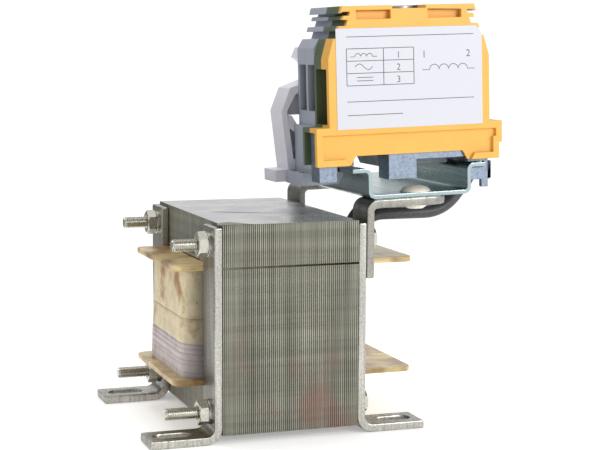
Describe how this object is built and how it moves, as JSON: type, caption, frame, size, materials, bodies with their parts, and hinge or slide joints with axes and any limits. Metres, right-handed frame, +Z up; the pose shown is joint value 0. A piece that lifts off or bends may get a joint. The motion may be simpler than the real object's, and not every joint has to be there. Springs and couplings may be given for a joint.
{
  "type": "line reactor",
  "caption": "Single-phase line reactor: laminated gapped core with one coil, slotted strip feet and a short rail carrying clamp terminals and an end stop.",
  "frame": {"origin": "centre of the four foot slots, on the plane that the feet stand on", "axes": "+X along the lamination stack towards the rail, +Y along the rail away from the earth terminal, +Z up"},
  "size_m": [0.0944, 0.06, 0.1037],
  "materials": {
    "lamination_steel": "varnished sheet edges",
    "zinc_steel": "zinc plated",
    "bolt_steel": "zinc plated, slightly yellow",
    "rail_steel": "blue passivated zinc",
    "foot_steel": "blue passivated zinc",
    "rivet_steel": "bright",
    "screw_steel": "nickel plated",
    "tinned_copper": "tinned",
    "copper": "enamelled wire",
    "brass": "plain",
    "gap_fibre": "varnished fibre",
    "pressboard": "varnished",
    "coil_paper": "varnished paper",
    "yellow_plastic": "moulded",
    "green_plastic": "moulded",
    "grey_plastic": "moulded",
    "light_grey_plastic": "moulded",
    "label_white": "satin film",
    "black_sleeve": "satin sleeving"
  },
  "bodies": {
    "root": {"e_core": "lamination_steel", "i_yoke": "lamination_steel", "gap_sheet": "gap_fibre", "bobbin": "pressboard", "winding": "copper", "coil_wrap": "coil_paper", "foot_front_left": "zinc_steel", "foot_back_left": "zinc_steel", "foot_front_right": "zinc_steel", "foot_back_right": "zinc_steel", "clamp_bolts": "bolt_steel", "clamp_washers": "bolt_steel", "clamp_nuts": "bolt_steel", "rail_bracket_front": "zinc_steel", "rail_bracket_back": "zinc_steel", "mounting_rail": "rail_steel", "rail_rivets": "rivet_steel", "earth_cover": "yellow_plastic", "earth_housing": "green_plastic", "earth_foot": "foot_steel", "earth_bar": "brass", "earth_cages": "screw_steel", "earth_screws": "screw_steel", "earth_foot_screw": "screw_steel", "rating_label": "label_white", "terminal_housing_front": "grey_plastic", "terminal_housing_back": "grey_plastic", "terminal_bars": "brass", "terminal_cages": "screw_steel", "terminal_screws": "screw_steel", "end_stop": "light_grey_plastic", "end_stop_screw": "screw_steel", "lead_front": "black_sleeve", "lead_back": "black_sleeve", "lead_ferrules": "tinned_copper"}
  },
  "joints": []
}
